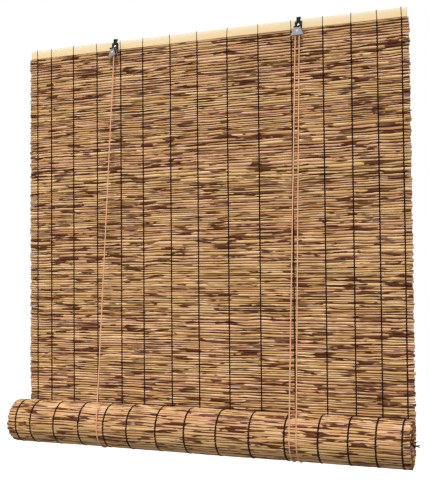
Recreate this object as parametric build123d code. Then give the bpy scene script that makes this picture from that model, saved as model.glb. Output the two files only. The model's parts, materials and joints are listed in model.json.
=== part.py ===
from build123d import *
from math import asin, atan2, cos, degrees, pi, radians, sin
import os

# A hand-raised reed blind: a mat of reeds hangs from a bamboo batten. Its lower part is wound into a roll.
# Lengths are in millimetres. X runs along the batten, Y points back towards the wall and Z points up.
# The pieces are drawn with the batten's front face at Y 0. All of them are then moved forward together,
# so that the origin lies halfway between the two hanging eyes, on their common axis.

# Mat of reeds
MAT_WIDTH = 1000.0
REED_THICKNESS = 4.6
REED_PITCH = 6.5
VALLEY_DEPTH = 0.7
HANGING_LENGTH = 951.0
GAP_ROWS_PER_BAY = 4
GAP_HEIGHT = 0.5
GAP_SHARE_OF_BAY = 0.62

# Wound roll and the rod in its core
ROD_RADIUS = 8.5
ROD_INSET = 5.0
TURN_PITCH = 5.13
HALF_TURNS = 17
ROD_CLEARANCE = 0.3
MAT_JOIN_GAP = 0.3
LIFT_TURNS = 2

# Head batten
BATTEN_INSET = 4.0
BATTEN_HEIGHT = 23.0
BATTEN_THICKNESS = 5.0
BATTEN_EDGE_RADIUS = 1.0
BATTEN_TO_MAT = 0.3

# Warp threads, placed from the blind's middle as shares of the mat's width
THREAD_PLACES = [-0.477, -0.4347, -0.3676, -0.2974, -0.2286, -0.1658, -0.0896, -0.0166]
THREAD_PLACES += [0.0623, 0.1421, 0.2249, 0.3016, 0.3681, 0.428, 0.4837]
THREAD_WIDTH = 1.6
THREAD_THICKNESS = 0.4
THREAD_CLEARANCE = 0.05
THREAD_NIP = 8.0
ROLL_THREAD_STOP_DEG = 14.0
ROLL_THREAD_RUNS = 12

# Hanger plates, each a stamped strap with a rolled eye above the batten and a shelf below it
HANGER_PLACE = 0.2435
STRAP_THICKNESS = 1.2
EYE_RADIUS = 2.0
EYE_WIDTH = 9.5
EYE_SWEEP_DEG = 295.0
EYE_TO_BATTEN = 0.2
PLATE_WIDTH = 18.0
PLATE_SHOULDER_Z = -7.9
PLATE_CORNER_RADIUS = 2.0
SHELF_REACH = 19.5
SHELF_ABOVE_BATTEN_FOOT = 0.9
SHELF_CORNER_RADIUS = 6.0
SCREW_Z = -16.8
SCREW_RADIUS = 1.7
SCREW_DEPTH = 4.2
SCREW_HEAD_RADIUS = 3.2
SCREW_HEAD_HEIGHT = 1.9

# Pulley blocks, which swivel on a rivet under the shelf
SWIVEL_Y = -12.8
SWIVEL_RIVET_RADIUS = 2.0
SWIVEL_HEAD_RADIUS = 3.3
SWIVEL_HEAD_HEIGHT = 0.9
SWIVEL_FOOT_CLEARANCE = 0.3
SWIVEL_FOOT_TAPER = 0.4
SWIVEL_CLEARANCE = 0.06
SHELF_TO_BLOCK = 0.3
LEFT_BLOCK_TURN_DEG = -30.0
BLOCK_SHEET = 1.0
BLOCK_GAP = 6.0
BLOCK_TOP_WIDTH = 17.0
BLOCK_BOTTOM_WIDTH = 33.0
BLOCK_HEIGHT = 19.0
BLOCK_SIDE_HOLLOW = 1.6
BLOCK_CORNER_RADIUS = 1.2
AXLE_BELOW_BLOCK_TOP = 9.3
AXLE_RADIUS = 1.5
AXLE_HEAD_RADIUS = 2.6
AXLE_HEAD_HEIGHT = 0.9
AXLE_SEAT_CLEARANCE = 0.02
SHEAVE_WIDTH = 5.4
SHEAVE_RIM_RADIUS = 5.4
SHEAVE_GROOVE_BOTTOM = 2.9
SHEAVE_BORE_CLEARANCE = 0.05

# Lift cord
CORD_RADIUS = 1.4
CORD_IN_GROOVE = 0.45
CORD_TO_ROLL = 0.35
CORD_JOIN_GAP = 0.3
CORD_TO_THREAD = 0.3
SLING_FROM_HANGER_LEFT = -1.5
SLING_FROM_HANGER_INNER = -6.0
SLING_FROM_HANGER_OUTER = 10.2
CROSS_RUN_Z = -9.5
CROSS_RUN_BEND = 5.0
KNOT_RADIUS = 2.2
KNOT_LENGTH = 4.0
KNOT_CLEARANCE = 0.3
STAPLE_WIRE = 1.2
STAPLE_DEPTH = 3.0
STAPLE_Z = -20.0
STAPLE_CLEARANCE = 0.3

# Places that follow from the sizes above
thread_x = [place * MAT_WIDTH for place in THREAD_PLACES]
hanger_x = HANGER_PLACE * MAT_WIDTH
batten_length = MAT_WIDTH - 2 * BATTEN_INSET
rod_length = MAT_WIDTH - 2 * ROD_INSET
eye_outer_radius = EYE_RADIUS + STRAP_THICKNESS
eye_y = EYE_RADIUS
eye_z = 0.0
batten_top = -eye_outer_radius - EYE_TO_BATTEN
batten_bottom = batten_top - BATTEN_HEIGHT
mat_y = BATTEN_THICKNESS / 2
mat_front = mat_y - REED_THICKNESS / 2
mat_back = mat_y + REED_THICKNESS / 2
mat_top = batten_bottom - BATTEN_TO_MAT
roll_radius = ROD_RADIUS + ROD_CLEARANCE + REED_THICKNESS + (HALF_TURNS - 1) * TURN_PITCH / 2
winding_radius = roll_radius - REED_THICKNESS / 2
roll_y = mat_back - roll_radius
roll_z = batten_bottom - HANGING_LENGTH
mat_bottom = roll_z + MAT_JOIN_GAP
thread_front = min(0.0, mat_front) - THREAD_CLEARANCE
thread_back = max(BATTEN_THICKNESS, mat_back) + THREAD_CLEARANCE
shelf_bottom = batten_bottom + SHELF_ABOVE_BATTEN_FOOT
shelf_top = shelf_bottom + STRAP_THICKNESS
block_top = shelf_bottom - SHELF_TO_BLOCK
block_bottom = block_top - BLOCK_HEIGHT
axle_z = block_top - AXLE_BELOW_BLOCK_TOP
groove_radius = CORD_RADIUS + CORD_IN_GROOVE
cord_over_radius = SHEAVE_GROOVE_BOTTOM + groove_radius
sling_radius = roll_radius + CORD_TO_ROLL + CORD_RADIUS
sling_back_y = roll_y + sling_radius
cord_back_y = thread_back + THREAD_THICKNESS + CORD_TO_THREAD + CORD_RADIUS
knot_back_y = BATTEN_THICKNESS + KNOT_CLEARANCE + KNOT_RADIUS
cross_run_y = max(cord_back_y, knot_back_y)


def save(name, *shapes):
    """Move a piece, or a group of like ones, to the eyes' axis, name it and write it as one file."""
    moved = [Pos(0, -eye_y, 0) * shape for shape in shapes]
    piece = moved[0] if len(moved) == 1 else Compound(children=moved)
    piece.label = name
    export_step(piece, "parts/" + name + ".step")


def along_x(face_edges, length, middle=0.0):
    """A solid of constant section along X, from the closed loop of edges that bounds its section."""
    section = make_face(face_edges)
    return Pos(middle, 0, 0) * extrude(section, amount=length / 2, dir=(1, 0, 0), both=True)


def box_between(low, high):
    """A box from its lowest to its highest corner."""
    size = [h - l for l, h in zip(low, high)]
    middle = [(h + l) / 2 for l, h in zip(low, high)]
    return Pos(*middle) * Box(*size)


def straight_cord(start, end):
    """A straight length of cord between two points."""
    run = Vector(*end) - Vector(*start)
    return Solid.make_cylinder(CORD_RADIUS, run.length, Plane(origin=start, z_dir=run))


def turned(profile, place):
    """A piece turned about the axis along which its profile of radius and height is drawn."""
    return place * revolve(make_face(profile), Axis.Z, 360)


def loop(points):
    """The closed loop of straight edges through some points."""
    return Polyline(*points, close=True).edges()


# Head batten and mat
def ridge_points(y_crest, y_valley, z_start, z_end, rows):
    """The ridged edge that rows of reeds give one face of the mat."""
    step = (z_end - z_start) / rows
    points = []
    for row in range(rows):
        z = z_start + row * step
        points += [(0, y_valley, z), (0, y_crest, z + step / 2)]
    return points + [(0, y_valley, z_end)]


def reed_gaps(rows):
    """Narrow openings between neighbouring reeds, a few in each bay between two threads."""
    step = (mat_top - mat_bottom) / rows
    gaps = []
    for bay in range(len(thread_x) - 1):
        left, right = thread_x[bay], thread_x[bay + 1]
        length = (right - left) * GAP_SHARE_OF_BAY
        for number in range(GAP_ROWS_PER_BAY):
            share = (number + (bay * 0.618) % 1) / GAP_ROWS_PER_BAY
            row = 2 + round(share * (rows - 4))
            shift = ((number * 5 + bay * 3) % 7 - 3) / 3 * (right - left - length) * 0.3
            place = Pos((left + right) / 2 + shift, mat_y, mat_bottom + row * step)
            gaps.append(place * Box(length, 2 * REED_THICKNESS, GAP_HEIGHT))
    return gaps


def hanging_mat():
    rows = round((mat_top - mat_bottom) / REED_PITCH)
    front = ridge_points(mat_front, mat_front + VALLEY_DEPTH, mat_bottom, mat_top, rows)
    back = ridge_points(mat_back, mat_back - VALLEY_DEPTH, mat_bottom, mat_top, rows)
    return along_x(loop(front + back[::-1]), MAT_WIDTH) - reed_gaps(rows)


def warp_thread(x):
    """One thread of the weave: up the front from the roll, over the batten and down the back."""
    front_out = thread_front - THREAD_THICKNESS
    back_out = thread_back + THREAD_THICKNESS
    over = batten_top + THREAD_CLEARANCE
    nip = mat_bottom + THREAD_NIP
    outline = [
        (0, front_out, nip),
        (0, front_out, over + THREAD_THICKNESS),
        (0, back_out, over + THREAD_THICKNESS),
        (0, back_out, mat_bottom),
        (0, thread_back, mat_bottom),
        (0, thread_back, over),
        (0, thread_front, over),
        (0, thread_front, nip),
    ]
    return along_x(loop(outline), THREAD_WIDTH, x)


# Wound roll. Each half turn is an arc about one of two centres, so the turns tighten by TURN_PITCH.
def half_turn(number):
    """Centre and outer radius of one half turn, counted from the outside. Even ones are the lower ones."""
    centre_y = roll_y - (TURN_PITCH / 2 if number % 2 else 0.0)
    return centre_y, roll_radius - number * TURN_PITCH / 2


def on_turn(number, inset, angle_deg):
    """A point on a half turn, at an angle that runs from its start to its end, from 0 to 180."""
    centre_y, radius = half_turn(number)
    side = 1 if number % 2 == 0 else -1
    angle = radians(angle_deg)
    reach = (radius - inset) * side
    return (0, centre_y + reach * cos(angle), roll_z - reach * sin(angle))


def turn_arc(number, inset, start_deg=0.0, end_deg=180.0):
    middle = (start_deg + end_deg) / 2
    points = [on_turn(number, inset, angle) for angle in (start_deg, middle, end_deg)]
    return ThreePointArc(*points).edge()


def wound_roll():
    edges = []
    for number in range(HALF_TURNS):
        if number > 1:
            edges.append(turn_arc(number, VALLEY_DEPTH))
            continue
        ridges = round(pi * half_turn(number)[1] / REED_PITCH)
        for ridge in range(ridges):
            start, middle, end = [180.0 * (ridge + share) / ridges for share in (0, 0.5, 1)]
            crest = on_turn(number, 0.0, middle)
            edges.append(Line(on_turn(number, VALLEY_DEPTH, start), crest).edge())
            edges.append(Line(crest, on_turn(number, VALLEY_DEPTH, end)).edge())
    last = HALF_TURNS - 1
    edges.append(Line(on_turn(last, VALLEY_DEPTH, 180), on_turn(last, REED_THICKNESS, 180)).edge())
    for number in reversed(range(HALF_TURNS)):
        edges.append(turn_arc(number, REED_THICKNESS))
    edges.append(Line(on_turn(0, REED_THICKNESS, 0), on_turn(0, VALLEY_DEPTH, 0)).edge())
    return along_x(edges, MAT_WIDTH)


def roll_thread(x):
    """The stretch of one thread that shows round the outside of the roll, in short straight runs."""
    outer, inner = [], []
    for number, stop in ((0, 180.0), (1, 180.0 - ROLL_THREAD_STOP_DEG)):
        run = stop / ROLL_THREAD_RUNS
        corner_rise = half_turn(number)[1] * (1 / cos(radians(run / 2)) - 1)
        inset = -THREAD_CLEARANCE - corner_rise
        for corner in range(number, ROLL_THREAD_RUNS + 1):
            inner.append(on_turn(number, inset, corner * run))
            outer.append(on_turn(number, inset - THREAD_THICKNESS, corner * run))
    return along_x(loop(outer + inner[::-1]), THREAD_WIDTH, x)


def bottom_rod():
    lie = Plane(origin=(-rod_length / 2, roll_y, roll_z), z_dir=(1, 0, 0))
    rod = lie * Pos(0, 0, rod_length / 2) * Cylinder(ROD_RADIUS, rod_length)
    return chamfer(rod.edges().filter_by(GeomType.CIRCLE), 0.8)


# Hangers
def eye_point(radius, angle_deg):
    angle = radians(angle_deg)
    return (0, eye_y + radius * cos(angle), eye_z + radius * sin(angle))


def hanger_plate(x):
    """The bent strap: a rolled eye, a plate against the batten and a shelf that carries the pulley block."""
    end = 180 - EYE_SWEEP_DEG
    middle = 180 - EYE_SWEEP_DEG / 2
    curl = [
        ThreePointArc(*[eye_point(eye_outer_radius, a) for a in (180, middle, end)]).edge(),
        Line(eye_point(eye_outer_radius, end), eye_point(EYE_RADIUS, end)).edge(),
        ThreePointArc(*[eye_point(EYE_RADIUS, a) for a in (end, middle, 180)]).edge(),
        Line(eye_point(EYE_RADIUS, 180), eye_point(eye_outer_radius, 180)).edge(),
    ]
    front = -STRAP_THICKNESS
    strip = [
        (0, 0, eye_z),
        (0, 0, shelf_bottom),
        (0, -SHELF_REACH, shelf_bottom),
        (0, -SHELF_REACH, shelf_top),
        (0, front, shelf_top),
        (0, front, eye_z),
    ]
    blank = along_x(loop(strip), PLATE_WIDTH)
    low_edges = [e for e in blank.edges().filter_by(Axis.X) if e.center().Z < shelf_top - 0.1]
    blank = fillet([e for e in low_edges if e.center().Y > -0.1], STRAP_THICKNESS)
    nose = [e for e in blank.edges().filter_by(Axis.Z) if e.center().Y < 0.1 - SHELF_REACH]
    plate = along_x(curl, EYE_WIDTH) + fillet(nose, SHELF_CORNER_RADIUS)
    reach = 2 * eye_outer_radius
    for side in (-1, 1):
        inner, outer = sorted((side * EYE_WIDTH / 2, side * PLATE_WIDTH))
        plate -= box_between((inner, -reach, PLATE_SHOULDER_Z), (outer, reach, reach))
    shoulders = [e for e in plate.edges().filter_by(Axis.Y) if abs(e.center().Z - PLATE_SHOULDER_Z) < 0.01]
    shoulders = [e for e in shoulders if abs(e.center().X) > PLATE_WIDTH / 2 - 0.01]
    plate = fillet(shoulders, PLATE_CORNER_RADIUS)
    plate -= Pos(0, 0, SCREW_Z) * Rot(90, 0, 0) * Cylinder(SCREW_RADIUS, 4 * STRAP_THICKNESS)
    plate -= Pos(0, SWIVEL_Y, shelf_top) * Cylinder(SWIVEL_RIVET_RADIUS, 4 * STRAP_THICKNESS)
    return Pos(x, 0, 0) * plate


def domed_profile(radius, height, base, points):
    """Half section of a turned piece with a rounded head on top, then down its side through some points."""
    head = []
    for angle in (90, 60, 30, 0):
        head.append((radius * cos(radians(angle)), 0, base + height * sin(radians(angle))))
    return loop(head + [(r, 0, z) for r, z in points])


def hanger_screw(x):
    """A round-headed screw through the plate into the batten. Its thread is left plain."""
    long = STRAP_THICKNESS + SCREW_DEPTH
    side = [(SCREW_RADIUS, 0), (SCREW_RADIUS, SCREW_RADIUS - long), (0, -long)]
    place = Pos(x, -STRAP_THICKNESS, SCREW_Z) * Rot(90, 0, 0)
    return turned(domed_profile(SCREW_HEAD_RADIUS, SCREW_HEAD_HEIGHT, 0.0, side), place)


def swivel_rivet(x):
    """Rivet with a head above the shelf and one under the block's top."""
    grip = shelf_top - (block_top - BLOCK_SHEET) + SWIVEL_CLEARANCE
    foot = -grip - SWIVEL_HEAD_HEIGHT
    foot_radius = BLOCK_GAP / 2 - SWIVEL_FOOT_CLEARANCE
    side = [
        (SWIVEL_RIVET_RADIUS, 0),
        (SWIVEL_RIVET_RADIUS, -grip),
        (foot_radius, -grip),
        (foot_radius - SWIVEL_FOOT_TAPER, foot),
        (0, foot),
    ]
    place = Pos(x, SWIVEL_Y, shelf_top)
    return turned(domed_profile(SWIVEL_HEAD_RADIUS, SWIVEL_HEAD_HEIGHT, 0.0, side), place)


# Pulley block, drawn at the origin of its swivel with its cheeks facing front and back
def block_place(side):
    turn = LEFT_BLOCK_TURN_DEG if side < 0 else 0.0
    return Pos(side * hanger_x, SWIVEL_Y, 0) * Rot(0, 0, turn)


def pulley_block():
    """One folded sheet: a top and two flared cheeks that hold the axle."""
    outer = BLOCK_GAP / 2 + BLOCK_SHEET
    inner = BLOCK_GAP / 2
    under = block_top - BLOCK_SHEET
    channel = [
        (0, -outer, block_bottom),
        (0, -outer, block_top),
        (0, outer, block_top),
        (0, outer, block_bottom),
        (0, inner, block_bottom),
        (0, inner, under),
        (0, -inner, under),
        (0, -inner, block_bottom),
    ]
    folded = along_x(loop(channel), BLOCK_BOTTOM_WIDTH + 2)
    bends = [e for e in folded.edges().filter_by(Axis.X) if abs(e.center().Z - block_top) < 0.01]
    folded = fillet(bends, BLOCK_SHEET * 0.8)
    top, bottom = BLOCK_TOP_WIDTH / 2, BLOCK_BOTTOM_WIDTH / 2
    waist = (top + bottom) / 2 - BLOCK_SIDE_HOLLOW
    middle_z = (block_top + block_bottom) / 2
    outline = [
        Line((-top, 0, block_top), (top, 0, block_top)).edge(),
        ThreePointArc((top, 0, block_top), (waist, 0, middle_z), (bottom, 0, block_bottom)).edge(),
        Line((bottom, 0, block_bottom), (-bottom, 0, block_bottom)).edge(),
        ThreePointArc((-bottom, 0, block_bottom), (-waist, 0, middle_z), (-top, 0, block_top)).edge(),
    ]
    blank = extrude(make_face(outline), amount=2 * outer, dir=(0, 1, 0), both=True)
    feet = [e for e in blank.edges().filter_by(Axis.Y) if abs(e.center().Z - block_bottom) < 0.01]
    blank = fillet(feet, BLOCK_CORNER_RADIUS)
    block = folded & blank
    axle_hole = AXLE_RADIUS + AXLE_SEAT_CLEARANCE
    block -= Pos(0, 0, axle_z) * Rot(90, 0, 0) * Cylinder(axle_hole, 4 * outer)
    block -= Pos(0, 0, block_top) * Cylinder(SWIVEL_RIVET_RADIUS + SWIVEL_CLEARANCE, 4 * BLOCK_SHEET)
    return block


def axle_pin():
    """Riveted axle with a low domed head outside each cheek."""
    outer = BLOCK_GAP / 2 + BLOCK_SHEET
    pin = Pos(0, 0, axle_z) * Rot(90, 0, 0) * Cylinder(AXLE_RADIUS, 2 * outer)
    for turn in (90, -90):
        place = Pos(0, 0, axle_z) * Rot(turn, 0, 0)
        pin += turned(domed_profile(AXLE_HEAD_RADIUS, AXLE_HEAD_HEIGHT, outer, [(0, outer)]), place)
    return pin


def sheave():
    """Grooved wheel on the axle, its groove a little wider than the cord."""
    bore = AXLE_RADIUS + SHEAVE_BORE_CLEARANCE
    half = SHEAVE_WIDTH / 2
    groove = []
    for angle in (90, 45, 0, -45, -90):
        reach = groove_radius * cos(radians(angle))
        groove.append((SHEAVE_GROOVE_BOTTOM + groove_radius - reach, 0, groove_radius * sin(radians(angle))))
    rim = [
        (SHEAVE_RIM_RADIUS, 0, -groove_radius),
        (SHEAVE_RIM_RADIUS, 0, -half),
        (bore, 0, -half),
        (bore, 0, half),
        (SHEAVE_RIM_RADIUS, 0, half),
        (SHEAVE_RIM_RADIUS, 0, groove_radius),
    ]
    return turned(loop(groove + rim), Pos(0, 0, axle_z) * Rot(90, 0, 0))


def knot():
    """A stopper knot, plain and barrel shaped, centred on the origin."""
    half = KNOT_LENGTH / 2
    end = KNOT_RADIUS * 0.6
    waist = half * 0.3
    profile = [
        (0, 0, -half),
        (end, 0, -half),
        (KNOT_RADIUS, 0, -waist),
        (KNOT_RADIUS, 0, waist),
        (end, 0, half),
        (0, 0, half),
    ]
    return turned(loop(profile), Pos(0, 0, 0))


# Lift cord
def cord_over_sheave(knotted):
    """The half turn of cord over a sheave. The left one goes on to a knot, drawn up under the sheave."""
    start = Plane(origin=(-cord_over_radius, 0, axle_z), z_dir=(0, 0, 1))
    cord = revolve(start * Circle(CORD_RADIUS), Axis((0, 0, axle_z), (0, 1, 0)), 180)
    if knotted:
        knot_z = axle_z - SHEAVE_RIM_RADIUS - KNOT_LENGTH / 2
        cord += straight_cord((-cord_over_radius, 0, axle_z), (-cord_over_radius, 0, knot_z))
        cord += Pos(-cord_over_radius, 0, knot_z) * knot()
    return cord


def strand_top(side, way):
    """Where a front strand leaves its sheave, on one side of the axle or the other."""
    place = block_place(side) * Pos(way * cord_over_radius, 0, axle_z)
    return place.position


def sling_x(side, from_hanger):
    return side * hanger_x + from_hanger


def sling_front(start):
    """The angle, from the roll's back, at which a strand from a point meets the sling round the roll."""
    dy = start.Y - roll_y
    dz = start.Z - roll_z
    distance = (dy * dy + dz * dz) ** 0.5
    return atan2(dz, dy) + pi / 2 - asin(sling_radius / distance)


def front_strand(side, way, from_hanger):
    """A taut strand from a sheave down to the front of the roll."""
    start = strand_top(side, way)
    angle = sling_front(start)
    x = sling_x(side, from_hanger)
    end = Vector(x, roll_y + sling_radius * cos(angle), roll_z + sling_radius * sin(angle))
    run = (end - start).normalized()
    return straight_cord(tuple(start + run * CORD_JOIN_GAP), tuple(end - run * CORD_JOIN_GAP))


def sling(side, way, from_hanger):
    """The stretch of cord that carries the roll, from its front round its underside to its back."""
    x = sling_x(side, from_hanger)
    front = sling_front(strand_top(side, way))
    meet = (x, roll_y + sling_radius * cos(front), roll_z + sling_radius * sin(front))
    start = Plane(origin=meet, z_dir=(0, -sin(front), cos(front)))
    roll_axis = Axis((x, roll_y, roll_z), (1, 0, 0))
    return revolve(start * Circle(CORD_RADIUS), roll_axis, degrees(2 * pi - front))


def back_run(left_x, right_x):
    """Up the back of the mat on the left, along the batten and down the back on the right, in one piece."""
    foot_z = roll_z + CORD_JOIN_GAP
    corners = [
        (left_x, sling_back_y, foot_z),
        (left_x, cross_run_y, CROSS_RUN_Z),
        (right_x, cross_run_y, CROSS_RUN_Z),
        (right_x, sling_back_y, foot_z),
    ]
    path = FilletPolyline(*corners, radius=CROSS_RUN_BEND)
    return sweep(Plane(origin=path @ 0, z_dir=path % 0) * Circle(CORD_RADIUS), path=path)


def back_strand(x):
    """Up the back of the mat to a knot above its staple."""
    foot = (x, sling_back_y, roll_z + CORD_JOIN_GAP)
    head = (x, cross_run_y, STAPLE_Z + KNOT_LENGTH)
    return straight_cord(foot, head) + Pos(x, cross_run_y, STAPLE_Z + KNOT_LENGTH) * knot()


def staple(x):
    """A wire staple that holds a strand to the batten's back."""
    half = CORD_RADIUS + STAPLE_CLEARANCE
    back = cross_run_y + half
    deep = BATTEN_THICKNESS - STAPLE_DEPTH
    outer = box_between(
        (x - half - STAPLE_WIRE, deep, STAPLE_Z - STAPLE_WIRE / 2),
        (x + half + STAPLE_WIRE, back + STAPLE_WIRE, STAPLE_Z + STAPLE_WIRE / 2),
    )
    inner = box_between(
        (x - half, deep - 1, STAPLE_Z - STAPLE_WIRE),
        (x + half, back, STAPLE_Z + STAPLE_WIRE),
    )
    bridge = fillet((outer - inner).edges().filter_by(Axis.Z).group_by(Axis.Y)[-1], STAPLE_WIRE * 0.6)
    return bridge


def head_batten(staples, screws):
    """The bamboo slat, with a rounded outline and the holes that the staples and screws make in it."""
    middle = (batten_top + batten_bottom) / 2
    slat = Pos(0, BATTEN_THICKNESS / 2, middle) * Box(batten_length, BATTEN_THICKNESS, BATTEN_HEIGHT)
    slat = fillet(slat.edges().filter_by(Axis.X), BATTEN_EDGE_RADIUS)
    return slat - staples - screws


def main():
    os.makedirs("parts", exist_ok=True)
    strands = {
        "left": (-1, 1, SLING_FROM_HANGER_LEFT),
        "right_inner": (1, -1, SLING_FROM_HANGER_INNER),
        "right_outer": (1, 1, SLING_FROM_HANGER_OUTER),
    }
    feet = {name: sling_x(side, from_hanger) for name, (side, way, from_hanger) in strands.items()}
    staples = {name: staple(x) for name, x in feet.items()}
    screws = {name: hanger_screw(side * hanger_x) for name, side in (("left", -1), ("right", 1))}
    save("head_batten", head_batten(list(staples.values()), list(screws.values())))
    save("reed_mat", hanging_mat())
    for number, x in enumerate(thread_x, 1):
        save(f"warp_thread_{number:02d}", warp_thread(x))
    save("reed_roll", wound_roll())
    save("roll_threads", *[roll_thread(x) for x in thread_x])
    save("bottom_rod", bottom_rod())
    for name, side in (("left", -1), ("right", 1)):
        save("hanger_plate_" + name, hanger_plate(side * hanger_x))
        save("hanger_screw_" + name, screws[name])
        save("swivel_rivet_" + name, swivel_rivet(side * hanger_x))
        save("pulley_block_" + name, block_place(side) * pulley_block())
        save("axle_pin_" + name, block_place(side) * axle_pin())
        save("sheave_" + name, block_place(side) * sheave())
        save("cord_over_" + name, block_place(side) * cord_over_sheave(side < 0))
    for name, strand in strands.items():
        save("cord_front_" + name, front_strand(*strand))
        save("cord_sling_" + name, sling(*strand))
        save("cord_staple_" + name, staples[name])
    save("cord_back_run", back_run(feet["left"], feet["right_inner"]))
    save("cord_back_right_outer", back_strand(feet["right_outer"]))
    print("roll radius", round(roll_radius, 2))
    print("roll axis y", round(roll_y - eye_y, 2), "z", round(roll_z, 2))
    print("winding radius", round(winding_radius, 3), "lift", round(2 * pi * winding_radius * LIFT_TURNS, 2))
    print("eyes from end to end", 2 * hanger_x + EYE_WIDTH)
    print("swivel axis y", round(SWIVEL_Y - eye_y, 2), "axle z", round(axle_z, 2))
    print("strands at the roll", {name: round(x, 1) for name, x in feet.items()})


main()
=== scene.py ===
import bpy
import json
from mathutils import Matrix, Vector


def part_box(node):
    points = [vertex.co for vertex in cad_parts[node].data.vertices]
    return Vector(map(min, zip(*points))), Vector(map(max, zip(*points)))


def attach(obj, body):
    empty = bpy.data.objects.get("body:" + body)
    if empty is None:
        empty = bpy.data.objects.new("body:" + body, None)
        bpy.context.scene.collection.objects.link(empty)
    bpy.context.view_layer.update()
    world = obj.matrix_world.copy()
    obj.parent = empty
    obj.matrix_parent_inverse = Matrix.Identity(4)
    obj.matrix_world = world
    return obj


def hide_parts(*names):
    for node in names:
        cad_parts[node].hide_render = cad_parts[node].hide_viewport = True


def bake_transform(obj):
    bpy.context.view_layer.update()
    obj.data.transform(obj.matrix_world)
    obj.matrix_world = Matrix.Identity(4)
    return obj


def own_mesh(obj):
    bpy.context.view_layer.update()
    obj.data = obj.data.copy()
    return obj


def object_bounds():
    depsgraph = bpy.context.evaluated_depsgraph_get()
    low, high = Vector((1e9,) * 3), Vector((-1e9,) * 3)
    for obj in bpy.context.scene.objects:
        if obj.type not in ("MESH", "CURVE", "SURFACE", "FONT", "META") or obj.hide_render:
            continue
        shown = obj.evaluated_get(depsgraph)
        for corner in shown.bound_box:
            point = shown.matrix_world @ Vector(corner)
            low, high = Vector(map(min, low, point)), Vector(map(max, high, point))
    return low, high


bl_info = {
    "name": "Reed roll up blind",
    "version": (1, 0, 0),
    "blender": (4, 5, 0),
    "location": "View3D > Sidebar > Reed blind",
    "description": "Reeds, twined threads, roll, lift cords, fittings and studio of a hand-raised reed blind",
    "category": "Object",
}

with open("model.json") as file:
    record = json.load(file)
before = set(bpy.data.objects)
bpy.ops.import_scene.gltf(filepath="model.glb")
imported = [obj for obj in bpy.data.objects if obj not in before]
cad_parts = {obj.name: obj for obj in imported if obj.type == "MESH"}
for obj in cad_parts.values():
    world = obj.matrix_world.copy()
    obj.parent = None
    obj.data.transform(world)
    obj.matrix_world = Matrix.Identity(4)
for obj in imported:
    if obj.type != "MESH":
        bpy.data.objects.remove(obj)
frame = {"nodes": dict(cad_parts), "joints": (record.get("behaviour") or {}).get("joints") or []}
cad_low, cad_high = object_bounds()

import json
import math

import bpy
import numpy as np
from bpy.props import FloatProperty, FloatVectorProperty, IntProperty, PointerProperty
from bpy.types import Operator, Panel, PropertyGroup
from mathutils import Matrix, Vector

MM = 0.001

# The map that the materials read: each tube has a strip of it, and these are shares of that strip
MAP_NAME = "OFBake"
END_STRIP = 0.012
STRIP_MARGIN = 0.06
STRIP_BODY = 0.88
CAP_REACH = 0.4

# Faces round a thread, a loose thread end and a cord
THREAD_SIDES = 6
TUFT_SIDES = 5
CORD_SIDES = 12

# A reed's rim and bore: how far the rim is rounded, how deep the bore is open, its size down there as a share
# of its size at the mouth, and the size of the end's face as a share of the reed's
RIM = 0.2 * MM
BORE_DEPTH = 5 * MM
BORE_FLOOR = 0.8
END_FACE = 0.93

# How unlike the reeds are
LEAST_HEIGHT = 0.6
DEPTH_SHARES = 0.9, 1.06
END_THINNING = 0.84, 1.0
INNER_HEIGHTS = 0.9, 1
INNER_DEPTHS = 0.85, 1
SHIFT = 0.25 * MM

# The roll's surface. Each wave has its share, its angle for a metre along X and for a metre of winding, and
# its start. Each thread draws the surface in over some width, and the rest stands out from it.
WAVES = (0.6, 11, 12, 0.0), (0.4, 25, -17, 1.3)
WAVE_HEIGHT = 0.5
DRAWN_IN = 20 * MM
BETWEEN_THREADS = 0.3
AT_THREADS = -0.1

# Warp threads: how fully a strand stays out on the reed it passes, its gap from the batten and how its loop
# rounds the batten's edges, and how far short of two half turns it ends on the roll
OUTWARD = 1.7
LOOP_GAP = 0.05 * MM
LOOP_EDGE = 1.2 * MM
THREAD_STOP = 12 * MM

# Loose thread ends: their number, their place from the roll's right end and axis, the limits of their
# directions, how they bend and spread, the share of their length that the shortest has, and their rings
TUFT_STRANDS = 8
TUFT_PLACE = 1 * MM, -42 * MM, 9 * MM
TUFT_OUTWARD = (0.8, -0.5, -0.6), (1.0, 0.1, 0.1)
TUFT_UPWARD = (0.0, 0.1, 0.8), (0.25, 0.5, 1.2)
TUFT_BEND = 0.5
TUFT_SPREAD = 1.5 * MM
TUFT_LEAST = 0.95
TUFT_POINTS = 9
TUFT_STEP = 1.2 * MM
TUFT_RADIUS = 1 * MM

# Yarn: the angle of its twist along a strand and round it, and how fine its fuzz is along and round a cord
TWIST_ALONG = 900
TWIST_ROUND = 40
FUZZ_ALONG = 900
FUZZ_ROUND = 30

# Cords: lean of the braid's yarns, narrowing at a cut end, the bends and knots, and the points along each
BRAID_LEAN = 0.7
CUT_END = 0.9
BACK_BEND = 30 * MM
CORNER_RADIUS = 5 * MM
KNOT_TURNS = 3
KNOT_PITCH = 1.35 * MM
KNOT_RADIUS = 1.25 * MM
KNOT_YARN = 0.95 * MM
KNOT_ABOVE_STAPLE = 4 * MM
KNOT_UNDER_SHEAVE = 7.4 * MM
KNOT_TAIL = 6 * MM
KNOT_POINTS = 40
SLING_POINTS = 60
CORNER_POINTS = 10
SHEAVE_POINTS = 24

# Reed skin: the least that streaks show and how much more they may, how strongly tones, the painted highlight
# on the reeds' upper sides and the painted shade between reeds show, and how much of a reed is free of
# painted shade at most and how much less it may be
STREAK_LEAST, STREAK_MORE = 0.63, 0.35
OWN_TONE = 0.6
ROSY_SHOWS = 0.6
FIBRE_SHOWS = 0.4
HIGHLIGHT_SHOWS = 0.6
PAINTED_SHADE_SHOWS = 0.92
UNSHADED_MOST, UNSHADED_LESS = 0.92, 0.52

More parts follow.
